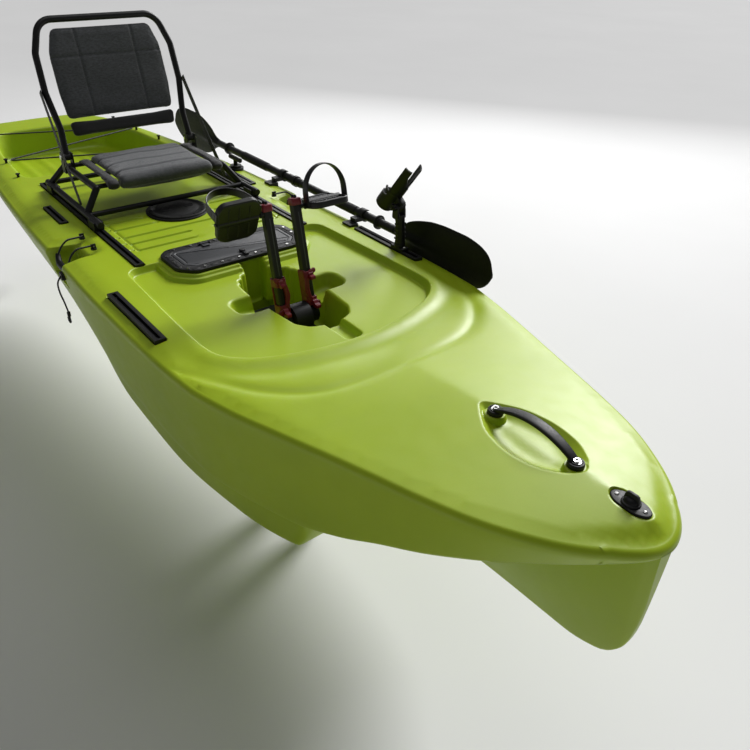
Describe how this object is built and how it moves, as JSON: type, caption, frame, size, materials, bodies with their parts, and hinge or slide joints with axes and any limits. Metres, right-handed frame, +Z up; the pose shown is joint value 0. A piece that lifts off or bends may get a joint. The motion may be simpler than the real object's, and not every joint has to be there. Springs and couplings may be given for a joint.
{
  "type": "pedal boat",
  "caption": "Sit-on-top fishing pedal boat with a two-arm flapping-fin drive, sliding frame seat, clipped paddle, hatches, rod holder and rudder.",
  "frame": {"origin": "on the underside of the keel, on the centreline, at half the hull's length", "axes": "+X forward to the bow, +Y to port, +Z up"},
  "size_m": [3.7, 0.9868, 1.3923],
  "materials": {
    "hull_green": "rotomoulded polyethylene, soft satin gloss, lime green",
    "black_plastic": "injection moulded nylon, fine grain",
    "lid_grey": "moulded lid, fine leather grain",
    "seal_rubber": "soft rubber",
    "strap_rubber": "smooth rubber strap",
    "black_aluminium": "black anodised",
    "bare_aluminium": "satin anodised",
    "stainless": "stainless steel",
    "crank_red": "dark red glass-filled nylon",
    "fin_rubber": "flexible fin",
    "seat_fabric": "heathered coated fabric over foam",
    "webbing": "woven webbing",
    "elastic": "braided elastic cord",
    "blade_black": "moulded paddle blade"
  },
  "bodies": {
    "hull": {"bow_handle": "black_plastic", "deck_hooks": "black_plastic", "deck_screws": "stainless", "drain_plug_base": "black_plastic", "drive_axles": "stainless", "drive_housing": "black_plastic", "gear_tracks": "black_aluminium", "hatch_frame": "black_plastic", "hatch_gasket": "seal_rubber", "hinge_pins": "stainless", "hull_shell": "hull_green", "paddle_clips": "black_plastic", "round_hatch_ring": "black_plastic", "rudder_bracket": "black_aluminium", "seat_rails": "black_aluminium", "side_cord": "elastic", "side_cord_hook": "black_plastic", "steering_base": "black_plastic", "tank_cord": "elastic"},
    "drain_plug": {"drain_plug": "black_plastic"},
    "hatch_lid": {"hatch_lid": "lid_grey"},
    "hatch_latch": {"hatch_latch": "black_plastic"},
    "round_hatch_lid": {"round_hatch_lid": "black_plastic"},
    "starboard_side_handle": {"starboard_side_handle": "black_plastic"},
    "port_side_handle": {"port_side_handle": "black_plastic"},
    "paddle": {"paddle_shaft": "black_aluminium", "paddle_grips": "seal_rubber", "paddle_drip_rings": "seal_rubber", "front_paddle_blade": "blade_black", "rear_paddle_blade": "blade_black"},
    "rod_holder_base": {"rod_holder_base": "black_plastic"},
    "rod_holder_post": {"rod_holder_post": "black_plastic", "rod_holder_pin": "black_plastic"},
    "rod_holder_cradle": {"rod_holder_cradle": "black_plastic"},
    "drive_lock": {"drive_lock": "black_plastic"},
    "front_fin": {"front_fin_mast": "stainless", "front_fin": "fin_rubber"},
    "rear_fin": {"rear_fin_mast": "stainless", "rear_fin": "fin_rubber"},
    "seat_base": {"seat_base_frame": "black_aluminium", "seat_feet": "black_plastic", "seat_cushion": "seat_fabric", "seat_back_pins": "stainless", "seat_straps": "webbing"},
    "seat_back": {"seat_back_frame": "black_aluminium", "seat_back_panel": "seat_fabric"},
    "rudder_head": {"rudder_head": "black_plastic", "rudder_bolt": "stainless"},
    "rudder_blade": {"rudder_blade": "blade_black"},
    "steering_lever": {"steering_lever": "black_plastic"},
    "starboard_crank": {"starboard_crank_socket": "crank_red", "starboard_crank_arm": "black_aluminium", "starboard_arm_cap": "crank_red"},
    "starboard_pedal": {"starboard_pedal": "black_plastic", "starboard_pedal_strap": "strap_rubber"},
    "port_crank": {"port_crank_socket": "crank_red", "port_crank_arm": "black_aluminium", "port_arm_cap": "crank_red"},
    "port_pedal": {"port_pedal": "black_plastic", "port_pedal_strap": "strap_rubber"}
  },
  "joints": [
    {"name": "drain_plug_turn", "type": "hinge", "parent": "hull", "child": "drain_plug", "pos_m": [1.654, 0, 0.4], "axis": [0, 0, 1], "range_deg": [0, 270]},
    {"name": "hatch_lid_open", "type": "hinge", "parent": "hull", "child": "hatch_lid", "pos_m": [0.16, 0, 0.3845], "axis": [0, -1, 0], "range_deg": [0, 105]},
    {"name": "hatch_latch_turn", "type": "hinge", "parent": "hatch_lid", "child": "hatch_latch", "pos_m": [0.272, 0, 0.381], "axis": [0, 0, 1], "range_deg": [0, 90]},
    {"name": "round_lid_turn", "type": "hinge", "parent": "hull", "child": "round_hatch_lid", "pos_m": [-0.176, 0, 0.376], "axis": [0, 0, 1], "range_deg": [0, 60]},
    {"name": "starboard_handle_lift", "type": "hinge", "parent": "hull", "child": "starboard_side_handle", "pos_m": [-0.065, -0.35, 0.38], "axis": [1, 0, 0], "range_deg": [-95, 0]},
    {"name": "port_handle_lift", "type": "hinge", "parent": "hull", "child": "port_side_handle", "pos_m": [-0.065, 0.35, 0.38], "axis": [1, 0, 0], "range_deg": [0, 20]},
    {"name": "paddle_unclip", "type": "slide", "parent": "hull", "child": "paddle", "axis": [0, 1, 0], "range_m": [0, 0.2]},
    {"name": "rod_holder_slide", "type": "slide", "parent": "hull", "child": "rod_holder_base", "axis": [1, 0, 0], "range_m": [-0.15, 0.03]},
    {"name": "rod_holder_swivel", "type": "hinge", "parent": "rod_holder_base", "child": "rod_holder_post", "pos_m": [0.517, 0.417, 0.396], "axis": [0, 0, 1], "range_deg": [-90, 90]},
    {"name": "rod_holder_tilt", "type": "hinge", "parent": "rod_holder_post", "child": "rod_holder_cradle", "pos_m": [0.507, 0.417, 0.508], "axis": [0, 1, 0], "range_deg": [-15, 30]},
    {"name": "drive_lock_turn", "type": "hinge", "parent": "hull", "child": "drive_lock", "pos_m": [0.716, 0, 0.25], "axis": [0, 0, 1], "range_deg": [0, 90]},
    {"name": "starboard_crank_swing", "type": "hinge", "parent": "hull", "child": "starboard_crank", "pos_m": [0.575, -0.045, 0.29], "axis": [0, 1, 0], "range_deg": [-27, 27]},
    {"name": "port_crank_swing", "type": "hinge", "parent": "hull", "child": "port_crank", "pos_m": [0.575, 0.045, 0.29], "axis": [0, 1, 0], "range_deg": [-27, 27]},
    {"name": "starboard_pedal_spin", "type": "hinge", "parent": "starboard_crank", "child": "starboard_pedal", "pos_m": [0.50752, -0.132, 0.58231], "axis": [0, 1, 0], "continuous": true},
    {"name": "port_pedal_spin", "type": "hinge", "parent": "port_crank", "child": "port_pedal", "pos_m": [0.50752, 0.132, 0.58231], "axis": [0, 1, 0], "continuous": true},
    {"name": "front_fin_sweep", "type": "hinge", "parent": "hull", "child": "front_fin", "pos_m": [0.49, 0, -0.028], "axis": [1, 0, 0], "range_deg": [-76, 76]},
    {"name": "rear_fin_sweep", "type": "hinge", "parent": "hull", "child": "rear_fin", "pos_m": [0.66, 0, -0.028], "axis": [1, 0, 0], "range_deg": [-76, 76]},
    {"name": "seat_slide", "type": "slide", "parent": "hull", "child": "seat_base", "axis": [1, 0, 0], "range_m": [-0.05, 0.15]},
    {"name": "seat_back_fold", "type": "hinge", "parent": "seat_base", "child": "seat_back", "pos_m": [-0.52, 0, 0.506], "axis": [0, 1, 0], "range_deg": [0, 75]},
    {"name": "rudder_steer", "type": "hinge", "parent": "hull", "child": "rudder_head", "pos_m": [-1.8, 0, 0.29], "axis": [0, 0, 1], "range_deg": [-35, 35]},
    {"name": "rudder_kick_up", "type": "hinge", "parent": "rudder_head", "child": "rudder_blade", "pos_m": [-1.848, 0, 0.29], "axis": [0, 1, 0], "range_deg": [0, 110]},
    {"name": "steering_turn", "type": "hinge", "parent": "hull", "child": "steering_lever", "pos_m": [-0.47, 0.392, 0.38], "axis": [0, 0, 1], "range_deg": [-35, 35]}
  ],
  "couplings": [
    {"joint": "port_crank_swing", "follows": "starboard_crank_swing", "ratio": -1},
    {"joint": "front_fin_sweep", "follows": "starboard_crank_swing", "ratio": 2.8},
    {"joint": "rear_fin_sweep", "follows": "starboard_crank_swing", "ratio": -2.8},
    {"joint": "steering_turn", "follows": "rudder_steer", "ratio": 1}
  ]
}
